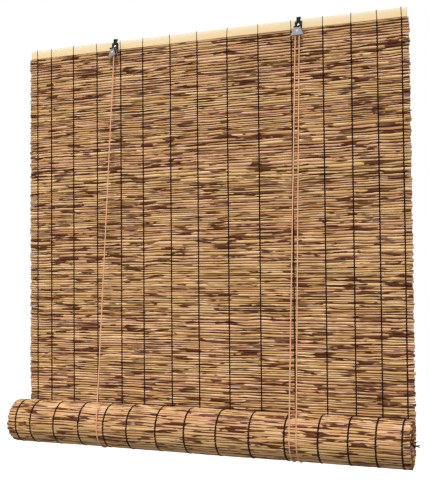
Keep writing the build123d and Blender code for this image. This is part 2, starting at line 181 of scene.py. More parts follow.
# Metal: its darker spots, and how its roughness varies
SPOT_SHADE = 0.6
SPOT_ROUGHNESS = 0.8, 1.25

# Places of the construction that the dressing follows
batten_low, batten_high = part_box("head_batten")
mat_low, mat_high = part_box("reed_mat")
roll_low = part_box("reed_roll")[0]
joints = {joint["name"]: joint for joint in frame["joints"]}
lift = joints["roll_lift"]["range_m"][1]
roll_axis = Vector(joints["roll_turn"]["pos_m"])
roll_radius = roll_axis.z - roll_low.z
never_wound = mat_low.z + lift
thread_nodes = sorted(name for name in frame["nodes"] if name.startswith("warp_thread_"))
thread_places = [(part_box(name)[0].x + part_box(name)[1].x) / 2 for name in thread_nodes]


def srgb(red, green, blue):
    """A colour as the eye reads it, from 0 to 255, in the linear values that shaders mix."""
    shares = (channel / 255 for channel in (red, green, blue))
    return tuple(((share + 0.055) / 1.055) ** 2.4 if share > 0.04045 else share / 12.92 for share in shares)


def colour_property(name, description, *channels):
    """A colour setting, given as red, green and blue from 0 to 255."""
    return FloatVectorProperty(
        name=name, description=description, default=srgb(*channels), subtype="COLOR", min=0, max=1
    )


def number_property(name, description, value, **kind):
    """A setting that is a share, a strength or an angle."""
    return FloatProperty(name=name, description=description, default=value, **kind)


def length_property(name, description, millimetres):
    """A setting that is a length, given in millimetres."""
    length = millimetres * MM
    return number_property(name, description, length, subtype="DISTANCE", unit="LENGTH", precision=4)


def count_property(name, description, value, least):
    """A setting that is a whole number."""
    return IntProperty(name=name, description=description, default=value, min=least)


def place_property(name, description, place):
    """A setting that is a place, in metres."""
    return FloatVectorProperty(name=name, description=description, default=place, subtype="TRANSLATION")


class ReedSettings(PropertyGroup):
    """The reeds of the mat and the roll"""

    depth: length_property("Depth", "Thickness of a reed from front to back", 4.8)
    thinnest: length_property("Thinnest", "Least height of a reed", 4.2)
    thickest: length_property("Thickest", "Greatest height of a reed", 8.8)
    taper: length_property("Taper", "Usual change of height from a reed's middle to its end", 0.7)
    stray: length_property("Stray", "Usual change of height from one thread to the next", 0.3)
    levelling: number_property("Levelling", "Share of a reed's tilt that the next keeps", 0.85)
    press: number_property("Press", "How tightly neighbours press together", 1.06)
    ragged: length_property("Ragged ends", "How far the reeds' ends stray from the mat's edge", 2.0)
    swell: length_property("Swell", "How far the roll's surface waves", 1.0)
    bore: number_property("Bore", "Hollow of a reed as a share of its thickness", 0.45, subtype="FACTOR")
    sides: count_property("Sides", "Faces round a reed", 8, 5)
    turn_pitch: length_property("Turn pitch", "Distance from one turn of the roll to the next", 5.13)
    half_turns: count_property("Half turns", "Half turns in the wound roll", 17, 2)
    whole: count_property("Whole", "Half turns modelled over their whole length", 4, 2)
    stub: length_property("Stub", "How deep the inner turns are modelled at each end of the roll", 45)
    # Painted shadow of the batten: the reed next to it is painted in the streak colour
    top_shade: number_property("Top shade", "Darkness of the reed next to the batten", 0.25)
    streak_length: length_property("Streak length", "Scale of the dark streaks along a reed", 62)
    seed: count_property("Seed", "Start of the random draws", 7, 0)
    straw: colour_property("Straw", "Lighter reed skin", 206, 167, 112)
    tan: colour_property("Tan", "Darker reed skin", 178, 132, 84)
    rosy: colour_property("Rosy", "Pinkish reed skin", 196, 142, 118)
    # Painted highlight on the upper side of each reed
    painted_highlight: colour_property("Gleam", "Palest reed skin", 240, 206, 170)
    # Also the colour of the painted shade between reeds, under the batten and inside the bores
    streak_and_shade: colour_property("Streak", "Scorched streaks", 74, 32, 6)
    plum: colour_property("Plum", "Purple brown streaks", 80, 42, 33)
    pith: colour_property("Pith", "Cut ends of the reeds", 118, 76, 48)


class ThreadSettings(PropertyGroup):
    """The twined warp threads"""

    width: length_property("Width", "Width of a strand", 3.1)
    thickness: length_property("Thickness", "Thickness of a strand", 1.1)
    spread: length_property("Spread", "How far two strands stand apart where they cross", 0.6)
    roll_width: length_property("Width on roll", "Width of a strand on the roll, where it lies open", 4.0)
    loop_width: length_property("Loop width", "Width of a strand drawn tight over the batten", 1.6)
    lean: length_property("Lean", "How far a loop over the batten leans", 1.6)
    step: length_property("Step", "Distance between rings of a strand", 1.3)
    tuft_length: length_property("Tuft length", "Length of the loose ends at the roll's right end", 16)
    colour: colour_property("Colour", "Twisted yarn", 22, 13, 12)
    # Painted sheen on the crests of the twist
    sheen_colour: colour_property("Fibre colour", "Lighter fibres of the yarn", 50, 34, 28)


class CordSettings(PropertyGroup):
    """The lift cords"""

    radius: length_property("Radius", "Radius of the braided cord", 1.4)
    relief: number_property("Relief", "Height of the braid as a share of the radius", 0.09)
    sink: length_property("Sink", "How far a sling sinks between the reeds of the roll", 0.9)
    swell: number_property("Fullness", "Size of the soft braid against its drawn radius", 1.02)
    carriers: count_property("Carriers", "Yarns that wind each way round the braid", 3, 2)
    step: length_property("Step", "Distance between rings of the braid", 0.8)
    sheave_radius: length_property("Radius over sheave", "Radius of the cord's centreline on a sheave", 4.75)
    bend_height: length_property("Bend height", "Height over which a strand bends as its block swivels", 22)
    colour: colour_property("Colour", "Braided yarn", 226, 168, 128)
    shade: colour_property("Shade", "Hollows of the braid", 192, 132, 96)


class FittingSettings(PropertyGroup):
    """The batten, the hangers and the pulley blocks"""

    # Painted light on the batten: paler towards its upper edge, warmer towards its lower edge
    bamboo_pale: colour_property("Pale bamboo", "Bleached upper edge of the batten", 238, 227, 202)
    bamboo: colour_property("Bamboo", "Planed batten", 233, 208, 164)
    bamboo_warm: colour_property("Warm bamboo", "Lower edge and grain of the batten", 232, 198, 146)
    rod: colour_property("Rod", "Bottom rod", 196, 152, 96)
    lacquer: colour_property("Lacquer", "Black lacquer of the plates", 13, 13, 16)
    zinc: colour_property("Zinc", "Plated sheet of the blocks", 156, 156, 158)
    nickel: colour_property("Nickel", "Screw heads and rivets", 214, 214, 218)
    nylon: colour_property("Nylon", "Sheaves", 48, 44, 42)
    wire: colour_property("Wire", "Staples", 160, 160, 166)


class StageSettings(PropertyGroup):
    """The studio and the camera"""

    floor_drop: number_property("Floor drop", "Floor below the roll", 0.9, unit="LENGTH")
    floor_size: number_property("Floor size", "Side of the floor", 14.0, unit="LENGTH")
    floor_glow: number_property("Floor glow", "Share of white that the camera sees unlit", 0.8)
    floor_grey: number_property("Floor grey", "Lit share of the floor's white", 0.34)
    sky: number_property("Sky", "Strength of the light from all round", 0.26)
    sun: number_property("Sun", "Strength of the main lamp", 3.95)
    sun_spread: number_property("Sun spread", "Softness of the main lamp", 0.16, subtype="ANGLE")
    sun_height: number_property("Sun height", "Main lamp above level", 0.95, subtype="ANGLE")
    back_sun: number_property("Back sun", "Strength of the lamp behind", 1.3)
    back_spread: number_property("Back spread", "Softness of the lamp behind", 0.6, subtype="ANGLE")
    back_height: number_property("Back height", "Lamp behind above level", 0.6, subtype="ANGLE")
    fill: number_property("Fill", "Power of the fill lamp", 6, unit="POWER")
    fill_size: number_property("Fill size", "Side of the fill lamp", 1.2, unit="LENGTH")
    fill_place: place_property("Fill place", "Place of the fill lamp", (-1.7, -1.3, -0.45))
    sun_side: number_property("Sun side", "Main lamp to the left of straight on", -0.3, subtype="ANGLE")
    eye: place_property("Eye", "Place of the camera", (0.7272, -1.861, -0.5994))
    yaw: number_property("Yaw", "Turn of the camera to the left", math.radians(20.671), subtype="ANGLE")
    pitch: number_property("Pitch", "Tilt of the camera upwards", math.radians(1.993), subtype="ANGLE")
    roll: number_property("Roll", "Lean of the camera", math.radians(-0.4795), subtype="ANGLE")
    lens: number_property("Lens", "Focal length for a 36 mm long side", 60.22, unit="CAMERA")


def put_in_scene(name, data):
    """A new object for a mesh, a lamp or a camera."""
    made = bpy.data.objects.new(name, data)
    bpy.context.scene.collection.objects.link(made)
    return made


# Meshes
class TubeMesh:
    """Gathers tubes into one mesh. Each has a strip of the map to itself, with U along it and V round it."""

    def __init__(self, sides, strips):
        self.sides = sides
        self.strips = strips
        self.count = 0
        self.used = 0
        self.points, self.quads, self.caps = [], [], []
        self.quad_maps, self.cap_maps = [], []

    def add(self, rings, along):
        """A closed tube through rings of points, with the U of each ring."""
        number, sides = len(rings), self.sides
        ring = np.arange(number - 1)[:, None] * sides
        side = np.arange(sides)[None, :]
        after = (side + 1) % sides
        corners = np.stack([ring + side, ring + after, ring + sides + after, ring + sides + side], axis=-1)
        low = (self.used + STRIP_MARGIN) / self.strips
        round_it = low + np.arange(sides + 1) / sides * STRIP_BODY / self.strips
        u_low = np.repeat(along[:-1, None], sides, axis=1)
        u_high = np.repeat(along[1:, None], sides, axis=1)
        v_low = np.repeat(round_it[None, :-1], number - 1, axis=0)
        v_high = np.repeat(round_it[None, 1:], number - 1, axis=0)
        self.quads.append(corners.reshape(-1, 4) + self.count)
        u = np.stack([u_low, u_low, u_high, u_high], axis=-1)
        v = np.stack([v_low, v_high, v_high, v_low], axis=-1)
        self.quad_maps.append(np.stack([u, v], axis=-1).reshape(-1, 2))
        angles = np.arange(sides) * 2 * np.pi / sides
        start = 0, along[0] / 2, slice(None, None, -1)
        end = number - 1, (1 + along[-1]) / 2, slice(None)
        for first, u_middle, order in (start, end):
            self.caps.append((np.arange(sides) + first * sides + self.count)[order])
            u_cap = u_middle + along[0] / 3 * np.cos(angles)
            v_cap = low + (1 + np.sin(angles)) * CAP_REACH / self.strips
            self.cap_maps.append(np.stack([u_cap, v_cap], axis=-1)[order])
        self.points.append(rings.reshape(-1, 3))
        self.count += number * sides
        self.used += 1

    def build(self, name, material):
        """The mesh as a new object."""
        points = np.concatenate(self.points)
        quads = np.concatenate(self.quads)
        caps = np.array(self.caps)
        corners = np.concatenate([quads.ravel(), caps.ravel()])
        totals = np.concatenate([np.full(len(quads), 4), np.full(len(caps), self.sides)])
        mesh = bpy.data.meshes.new(name)
        mesh.vertices.add(len(points))
        mesh.vertices.foreach_set("co", points.astype(np.float32).ravel())
        mesh.loops.add(len(corners))
        mesh.loops.foreach_set("vertex_index", corners.astype(np.int32))
        mesh.polygons.add(len(totals))
        mesh.polygons.foreach_set("loop_start", (np.cumsum(totals) - totals).astype(np.int32))
        mesh.polygons.foreach_set("loop_total", totals.astype(np.int32))
        mesh.polygons.foreach_set("use_smooth", np.ones(len(totals), bool))
        mesh.update(calc_edges=True)
        places = np.concatenate(self.quad_maps + self.cap_maps)
        mesh.uv_layers.new(name=MAP_NAME).data.foreach_set("uv", places.astype(np.float32).ravel())
        mesh.validate()
        mesh.materials.append(material)
        return put_in_scene(name, mesh)


def ring_points(centres, across, up, sides, relief=None):
    """Rings of points about some centres. across and up are each ring's half axes."""
    angles = np.arange(sides) * 2 * np.pi / sides
    if relief is None:
        relief = np.ones((len(centres), sides))
    cos = (np.cos(angles)[None, :] * relief)[..., None]
    sin = (np.sin(angles)[None, :] * relief)[..., None]
    return centres[:, None, :] + cos * across[:, None, :] + sin * up[:, None, :]


def reach_along(points):
    """How far along the line through them each of some points lies."""
    return np.concatenate([[0], np.cumsum(np.linalg.norm(np.diff(points, axis=0), axis=1))])


def evenly(points, step):
    """Points along a line, a step apart, with the directions of the line there and how far along they lie."""
    points = np.array(points, float)
    reach = reach_along(points)
    marks = np.linspace(0, reach[-1], max(2, round(reach[-1] / step) + 1))
    centres = np.stack([np.interp(marks, reach, points[:, axis]) for axis in range(3)], axis=1)
    directions = np.gradient(centres, axis=0)
    return centres, directions / np.linalg.norm(directions, axis=1)[:, None], marks


def section_axes(directions, side):
    """Two directions square to a line, the first as near to one given direction as it can be."""
    across = np.array(side, float) - directions * (directions @ np.array(side, float))[:, None]
    across /= np.linalg.norm(across, axis=1)[:, None]
    return across, np.cross(directions, across)


def body_of_strip(marks):
    """Where marks along a tube fall on its strip of the map, between the parts kept for its cut ends."""
    return END_STRIP + marks / marks[-1] * (1 - 2 * END_STRIP)


def add_reed(mesh, reeds, xs, centres, up, back):
    """A hollow reed along X with a rounded rim. up and back are its section's half axes at each place."""
    # The section is set back from each end by the rim, and three more rings lead over the face into the bore
    left, right = xs[0], xs[-1]
    inner = [reeds.bore * BORE_FLOOR, reeds.bore, END_FACE]
    longer = np.concatenate([[left + BORE_DEPTH, left, left], xs, [right, right, right - BORE_DEPTH]])
    longer[3] += RIM
    longer[-4] -= RIM
    scale = np.concatenate([inner, np.ones(len(xs)), inner[::-1]])[:, None]
    centres, up, back = [np.pad(values, ((3, 3), (0, 0)), mode="edge") for values in (centres, up, back)]
    centres[:, 0] = longer
    ends = np.array([0.25, 0.5, 0.75]) * END_STRIP
    along = np.concatenate([ends, body_of_strip(xs - left), 1 - ends[::-1]])
    mesh.add(ring_points(centres, back * scale, up * scale, mesh.sides), along)


def add_strand(mesh, points, threads, widths=None):
    """A flat strand of a warp thread, its width lying along X."""
    points = np.array(points, float)
    centres, directions, marks = evenly(points, threads.step)
    across, up = section_axes(directions, (1, 0, 0))
    width = np.full(len(marks), threads.width)
    if widths is not None:
        width = np.interp(marks, reach_along(points), widths)
    rings = ring_points(centres, across * width[:, None] / 2, up * threads.thickness / 2, mesh.sides)
    mesh.add(rings, body_of_strip(marks))


def add_cord(mesh, points, cords, side=(1, 0, 0), radius=None):
    """A braided cord: yarns wind both ways round it and stand proud of its core."""
    radius = (radius or cords.radius) * cords.swell
    centres, directions, marks = evenly(points, cords.step)
    across, up = section_axes(directions, side)
    angles = np.arange(mesh.sides)[None, :] * 2 * np.pi / mesh.sides
    wind = marks[:, None] / radius * BRAID_LEAN
    one_way = np.cos(cords.carriers * (angles - wind))
    other_way = np.cos(cords.carriers * (angles + wind))
    relief = 1 - cords.relief * (1 - np.maximum(one_way, other_way))
    relief[[0, -1]] *= CUT_END
    rings = ring_points(centres, across * radius, up * radius, mesh.sides, relief)
    mesh.add(rings, body_of_strip(marks))


# Materials
class NodeTree:
    """Nodes added one by one to a material or a world."""

    def __init__(self, owner):
        owner.use_nodes = True
        self.nodes = owner.node_tree.nodes
        self.links = owner.node_tree.links

    def put(self, target, value):
        if isinstance(value, bpy.types.NodeSocket):
            self.links.new(value, target)
        elif value is not None:
            target.default_value = value

    def node(self, kind, inputs=(), **values):
        made = self.nodes.new(kind)
        for name, value in values.items():
            setattr(made, name, value)
        for name, value in dict(inputs).items():
            self.put(made.inputs[name], value)
        return made

    def maths(self, operation, *values):
        return self.node("ShaderNodeMath", enumerate(values), operation=operation).outputs[0]

    def times(self, first, second):
        return self.maths("MULTIPLY", first, second)

    def line(self, value, slope, start):
        """The value times the slope, with the start added."""
        return self.maths("MULTIPLY_ADD", value, slope, start)

    def between(self, value, low, high):
        """0 below low, 1 above high and a smooth step between."""
        inputs = {"Value": value, "From Min": low, "From Max": high}
        return self.node("ShaderNodeMapRange", inputs, interpolation_type="SMOOTHSTEP").outputs["Result"]

    def seen_directly(self):
        """1 for what the camera, a reflection or a view through glass sees, 0 for what lights the blind."""
        rays = self.node("ShaderNodeLightPath").outputs
        mirrored = self.maths("MAXIMUM", rays["Is Glossy Ray"], rays["Is Transmission Ray"])
        return self.maths("MAXIMUM", rays["Is Camera Ray"], mirrored)


class Recipe(NodeTree):
    """A new material with a Principled shader."""

    def __init__(self, name, roughness=0.6, metallic=0.0, specular=0.5):
        self.material = bpy.data.materials.new(name)
        super().__init__(self.material)
        self.shader = self.nodes["Principled BSDF"]
        self.put(self.shader.inputs["Roughness"], roughness)
        self.put(self.shader.inputs["Metallic"], metallic)
        self.put(self.shader.inputs["Specular IOR Level"], specular)

    def mix(self, share, first, second):
        """The first colour, giving way to the second as the share goes from 0 to 1."""
        made = self.node("ShaderNodeMix", {"Factor": share}, data_type="RGBA")
        for name, colour in (("A", first), ("B", second)):
            socket = next(socket for socket in made.inputs if socket.name == name and socket.type == "RGBA")
            self.put(socket, colour if isinstance(colour, bpy.types.NodeSocket) else (*colour, 1))
        return next(socket for socket in made.outputs if socket.type == "RGBA")

    def map_place(self):
        """U and V of the strip map."""
        place = self.node("ShaderNodeUVMap", uv_map=MAP_NAME)
        parts = self.node("ShaderNodeSeparateXYZ", {"Vector": place.outputs["UV"]})
        return parts.outputs["X"], parts.outputs["Y"]

    def place(self, x=0.0, y=0.0, z=0.0):
        return self.node("ShaderNodeCombineXYZ", {"X": x, "Y": y, "Z": z}).outputs["Vector"]

    def object_place(self, scale):
        """The place on a rigid piece, stretched along each axis."""
        place = self.node("ShaderNodeTexCoord").outputs["Object"]
        return self.node("ShaderNodeVectorMath", {0: place, 1: scale}, operation="MULTIPLY").outputs["Vector"]

    def noise(self, vector, scale=1.0, detail=2.0, roughness=0.5):
        inputs = {"Vector": vector, "Scale": scale, "Detail": detail, "Roughness": roughness}
        return self.node("ShaderNodeTexNoise", inputs).outputs["Fac"]

    def chance(self, value):
        """A random number for each whole value."""
        return self.node("ShaderNodeTexWhiteNoise", {"W": value}, noise_dimensions="1D").outputs["Value"]

    def bump(self, height, strength, distance):
        made = self.node("ShaderNodeBump", {"Height": height, "Strength": strength, "Distance": distance})
        self.put(self.shader.inputs["Normal"], made.outputs["Normal"])

    def paint(self, colour):
        self.put(self.shader.inputs["Base Color"], colour)
        return self.material


def reed_skin(reeds, name, strips, length, painted_batten_shadow=0.0):
    """Dry reed skin with scorched streaks, a painted highlight on each reed's upper side and painted shade
    between reeds. Each reed, one strip of the map, has its own tone and streaks.
    """
    recipe = Recipe(name, roughness=0.65, specular=0.08)
    u, v = recipe.map_place()
    along = recipe.times(u, length / reeds.streak_length)
    strip = recipe.times(v, strips)
    reed = recipe.maths("FLOOR", strip)
    round_it = 2 * math.pi / STRIP_BODY
    turn = recipe.line(recipe.maths("FRACT", strip), round_it, -STRIP_MARGIN * round_it)
    rise = recipe.maths("SINE", turn)
    hollow = recipe.maths("ABSOLUTE", rise)
    own = recipe.chance(reed)
    other = recipe.chance(recipe.maths("ADD", reed, 0.5))

    def field(stretch, shift, chance, row, slope=0.0, detail=2, roughness=0.5):
        """Noise along a reed, its own row of it for each reed, which a slope changes round the reed."""
        x = recipe.line(chance, shift, recipe.times(along, stretch))
        y = recipe.line(rise, slope, recipe.times(reed, row))
        return recipe.noise(recipe.place(x, y), detail=detail, roughness=roughness)

    # Streaks that neighbouring reeds share, with ends that don't line up, and streaks of a single reed
    common = field(stretch=0.72, shift=1.5, chance=own, row=0.95, slope=0.2, detail=3, roughness=0.6)
    single = field(stretch=0.9, shift=53, chance=other, row=7.7, slope=0.5)
    cover = recipe.maths("MAXIMUM", recipe.between(common, 0.58, 0.60), recipe.between(single, 0.57, 0.59))
    strength = recipe.between(field(stretch=0.6, shift=31, chance=own, row=3.3), 0.3, 0.55)
    cover = recipe.times(cover, recipe.line(strength, STREAK_MORE, STREAK_LEAST))
    # The reed next to the batten is painted all over in the streak colour, a painted shadow under the batten
    last = recipe.maths("GREATER_THAN", strip, strips - 1)
    cover = recipe.maths("MAXIMUM", cover, recipe.times(last, painted_batten_shadow))

    # Skin tones from reed to reed, and slowly along each
    slow = field(stretch=0.35, shift=11, chance=other, row=1.9)
    tone = recipe.line(own, OWN_TONE, slow)
    skin = recipe.mix(recipe.between(tone, 0.4, 1.15), reeds.straw, reeds.tan)
    skin = recipe.mix(recipe.times(recipe.between(other, 0.6, 1.0), ROSY_SHOWS), skin, reeds.rosy)
    fibre = field(stretch=3.0, shift=7, chance=own, row=5.1, slope=2.5, detail=3, roughness=0.6)
    skin = recipe.mix(recipe.times(recipe.between(fibre, 0.45, 0.75), FIBRE_SHOWS), skin, reeds.tan)
    # Painted highlight: paler runs along the upper side of each reed, as if lit from above
    highlight_run = recipe.between(field(stretch=1.1, shift=71, chance=own, row=2.7), 0.45, 0.6)
    painted_highlight = recipe.times(recipe.between(rise, 0.0, 0.6), highlight_run)
    skin = recipe.mix(recipe.times(painted_highlight, HIGHLIGHT_SHOWS), skin, reeds.painted_highlight)
    scorch_and_shadow = recipe.mix(recipe.between(slow, 0.4, 0.62), reeds.streak_and_shade, reeds.plum)
    colour = recipe.mix(cover, skin, scorch_and_shadow)

    # Painted shade in the hollows between reeds, here wide and there hardly any
    width = recipe.between(field(stretch=0.4, shift=23, chance=other, row=4.3), 0.38, 0.62)
    edge = recipe.line(width, -UNSHADED_LESS, UNSHADED_MOST)
    shade = recipe.between(recipe.maths("SUBTRACT", hollow, edge), 0.0, 0.25)
    colour = recipe.mix(recipe.times(shade, PAINTED_SHADE_SHOWS), colour, reeds.streak_and_shade)

    # Cut ends: pith on the rim, and painted shade inside the bore
    near_end = recipe.maths("ABSOLUTE", recipe.maths("SUBTRACT", u, 0.5))
    rim, bore = 0.5 - END_STRIP, 0.5 - END_STRIP / 2
    blur = END_STRIP * 0.05
    colour = recipe.mix(recipe.between(near_end, rim, rim + blur), colour, reeds.pith)
    colour = recipe.mix(recipe.between(near_end, bore - blur, bore + blur), colour, reeds.streak_and_shade)
    recipe.bump(recipe.line(cover, -0.3, fibre), 0.35, 0.25 * MM)
    return recipe.paint(colour)


def thread_yarn(threads):
    """Near black twisted yarn with a painted sheen on each twist's crest, the same for every thread."""
    if "twisted_yarn" in bpy.data.materials:
        return bpy.data.materials["twisted_yarn"]
    recipe = Recipe("twisted_yarn", roughness=0.85, specular=0.1)
    u, v = recipe.map_place()
    # Painted sheen: the crest of each twist, where the bump stands highest, is painted lighter
    phase = recipe.maths("ADD", recipe.times(u, TWIST_ALONG), recipe.times(v, TWIST_ROUND))
    twist = recipe.maths("SINE", phase)
    share = recipe.times(recipe.between(twist, 0.2, 1.0), 0.5)
    recipe.bump(twist, 0.4, 0.1 * MM)
    return recipe.paint(recipe.mix(share, threads.colour, threads.sheen_colour))


def braided_yarn(cords):
    """Peach braid, darker in its hollows."""
    recipe = Recipe("braided_yarn", roughness=0.85, specular=0.08)
    u, v = recipe.map_place()
    spot = recipe.place(recipe.times(u, FUZZ_ALONG), recipe.times(v, FUZZ_ROUND))
    fuzz = recipe.noise(spot, detail=3, roughness=0.7)
    share = recipe.times(recipe.between(fuzz, 0.4, 0.7), 0.45)
    recipe.bump(fuzz, 0.4, 0.15 * MM)
    return recipe.paint(recipe.mix(share, cords.colour, cords.shade))


def planed_bamboo(name, pale, light, warm, roughness=0.45):
    """Planed bamboo: fine fibres along X, and painted light: a tone that pales from its lower to its upper
    edge.
    """
    recipe = Recipe(name, roughness=roughness, specular=0.4)
    long_grain, broad_grain = (9, 500, 900), (3, 20, 40)
    fibres = recipe.noise(recipe.object_place(long_grain), detail=4, roughness=0.65)
    tones = recipe.noise(recipe.object_place(broad_grain), detail=2)
    # Painted light: the tone pales from the lower edge to the upper, with a little noise
    whole = recipe.node("ShaderNodeTexCoord").outputs["Generated"]
    height = recipe.node("ShaderNodeSeparateXYZ", {"Vector": whole}).outputs["Z"]
    height = recipe.line(recipe.maths("SUBTRACT", tones, 0.5), 0.6, height)
    colour = recipe.mix(recipe.between(height, -0.1, 0.6), warm, light)
    colour = recipe.mix(recipe.between(height, 0.5, 1.05), colour, pale)
    colour = recipe.mix(recipe.times(recipe.between(fibres, 0.45, 0.75), 0.3), colour, warm)
    recipe.bump(fibres, 0.25, 0.2 * MM)
    return recipe.paint(colour)


def worn_metal(name, colour, roughness, metallic=1.0, mottle=0.2, scale=400.0, specular=0.5):
    """Plated or lacquered sheet with slight mottling and fine scuffs."""
    recipe = Recipe(name, roughness=roughness, metallic=metallic, specular=specular)
    spots = recipe.noise(recipe.object_place((scale, scale, scale)), detail=4, roughness=0.6)
    darker = [channel * SPOT_SHADE for channel in colour]
    share = recipe.times(recipe.between(spots, 0.4, 0.7), mottle)
    low, high = (roughness * share for share in SPOT_ROUGHNESS)
    inputs = {"Value": spots, "To Min": low, "To Max": high}
    rough = recipe.node("ShaderNodeMapRange", inputs)
    recipe.put(recipe.shader.inputs["Roughness"], rough.outputs["Result"])
    recipe.bump(spots, 0.15, 0.1 * MM)
    return recipe.paint(recipe.mix(share, tuple(colour), darker))


def dress(node, material):
    """A construction piece keeps its shape and gets a finish."""
    piece = frame["nodes"][node]
    piece.data.materials.clear()
    piece.data.materials.append(material)


# Mat and roll
def stations():
    """Places along a reed where it may change: its ends, each thread and midway between two threads."""
    middles = [(left + right) / 2 for left, right in zip(thread_places, thread_places[1:])]
    return np.array([mat_low.x] + sorted(thread_places + middles) + [mat_high.x])


class Weave:
    """Reeds laid side by side over some length, each with a height, taper, depth and ends of its own."""

    def __init__(self, reeds, seed, length):
        chance = np.random.default_rng(seed)
        share = stations() / mat_high.x
        edges = [np.zeros(len(share))]
        while edges[-1].mean() < length:
            start = edges[-1]
            height = chance.uniform(reeds.thinnest, reeds.thickest) + chance.normal(0, reeds.taper) * share
            stray = chance.normal(0, reeds.stray, len(share))
            ahead = start.mean() + (start - start.mean()) * reeds.levelling + height + stray
            edges.append(np.maximum(ahead, start + reeds.thinnest * LEAST_HEIGHT))
        edges = np.array(edges) * length / edges[-1]
        self.rows = len(edges) - 1
        self.middles = (edges[1:] + edges[:-1]) / 2
        self.halves = (edges[1:] - edges[:-1]) / 2 * reeds.press
        self.depths = chance.uniform(*DEPTH_SHARES, self.rows) * reeds.depth / 2
        self.shifts = chance.uniform(-SHIFT, SHIFT, self.rows)
        self.ends = chance.normal(0, reeds.ragged / 2, (self.rows, 2)).clip(-reeds.ragged, reeds.ragged)
        self.halves[:, [0, -1]] *= chance.uniform(*END_THINNING, (self.rows, 2))
        self.middles[:, [0, -1]] += chance.normal(0, reeds.stray, (self.rows, 2))

    def reed_places(self, row):
        """The stations of one reed, its first and last at its own ends."""
        xs = stations()
        xs[[0, -1]] += self.ends[row]
        return xs

    def strand(self, place, marks, side, threads):
        """How far to one side and how far out a strand lies as it twines past the reeds."""
        station = int(np.argmin(abs(stations() - place)))
        middles = self.middles[:, station]
        phase = np.interp(marks, middles, np.arange(self.rows)) * np.pi
        reach = np.interp(marks, middles, self.depths) + threads.thickness / 2
        return side * threads.spread * np.sin(phase), side * reach * np.clip(OUTWARD * np.cos(phase), -1, 1)


def wind_up(piece):
    """Gives the part of the mat that goes into the roll a mesh of its own."""
    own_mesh(piece)


def mat_weave(reeds):
    return Weave(reeds, reeds.seed, mat_high.z - mat_low.z)


class Spiral:
    """The roll's winding, measured along its outer face from where it leaves the mat."""

    def __init__(self, reeds):
        numbers = np.arange(reeds.half_turns)
        self.outer = roll_radius - numbers * reeds.turn_pitch / 2
        self.starts = np.concatenate([[0], np.cumsum(math.pi * self.outer)])
        self.middle = roll_axis.y - (numbers % 2) * reeds.turn_pitch / 2
        self.side = 1 - 2 * (numbers % 2)

    def place(self, xs, marks, inset):
        """Points under the outer face, and the directions along the winding and out of the roll."""
        number = np.clip(np.searchsorted(self.starts, marks, side="right") - 1, 0, len(self.outer) - 1)
        angle = (marks - self.starts[number]) / self.outer[number]
        cos, sin = self.side[number] * np.cos(angle), self.side[number] * np.sin(angle)
        nothing = np.zeros(len(marks))
        out = np.stack([nothing, cos, -sin], axis=1)
        along = np.stack([nothing, -sin, -cos], axis=1)
        centre = np.stack([xs, self.middle[number], np.full(len(marks), roll_axis.z)], axis=1)
        return centre + out * (self.outer[number] - inset)[:, None], along, out


def roll_weave(reeds):
    """The reeds of the roll's outer turns, which are modelled whole."""
    return Weave(reeds, reeds.seed + 1, Spiral(reeds).starts[reeds.whole])


def surface_wave(reeds, xs, marks):
    """How far out the roll's surface lies. Slow waves cross it, and each thread draws it in."""
    slow = sum(share * np.sin(along_x * xs + wound * marks + start) for share, along_x, wound, start in WAVES)
    nearest = np.abs(np.asarray(xs)[:, None] - np.array(thread_places)[None, :]).min(axis=1)
    between = BETWEEN_THREADS * np.minimum(nearest / DRAWN_IN, 1)
    return reeds.swell * (WAVE_HEIGHT * slow + between + AT_THREADS)


class BLIND_OT_reed_mat(Operator):
    """Lay the reeds of the hanging mat, those that are never wound up apart from the rest"""

    bl_idname = "blind.reed_mat"
    bl_label = "Reed mat"

    def execute(self, context):
        reeds = context.scene.blind_reeds
        weave = mat_weave(reeds)
        middle_y = (mat_low.y + mat_high.y) / 2
        raised = weave.middles.mean(axis=1) + mat_low.z > never_wound
        for part, rows in (("upper", np.flatnonzero(raised)), ("lower", np.flatnonzero(~raised))):
            mesh = TubeMesh(reeds.sides, len(rows))
            for row in rows:
                xs = weave.reed_places(row)
                level = np.ones(len(xs))
                y = level * (middle_y + weave.shifts[row])
                centres = np.stack([xs, y, mat_low.z + weave.middles[row]], axis=1)
                up = weave.halves[row][:, None] * np.array([[0, 0, 1.0]])
                back = level[:, None] * np.array([[0, weave.depths[row], 0]])
                add_reed(mesh, reeds, xs, centres, up, back)
            shaded = reeds.top_shade if part == "upper" else 0.0
            skin = reed_skin(reeds, "reed_skin_" + part, len(rows), mat_high.x - mat_low.x, shaded)
            piece = mesh.build("reeds_" + part, skin)
            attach(piece, "blind_head")
            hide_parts("reed_mat")
            if part == "lower":
                wind_up(piece)
        return {"FINISHED"}


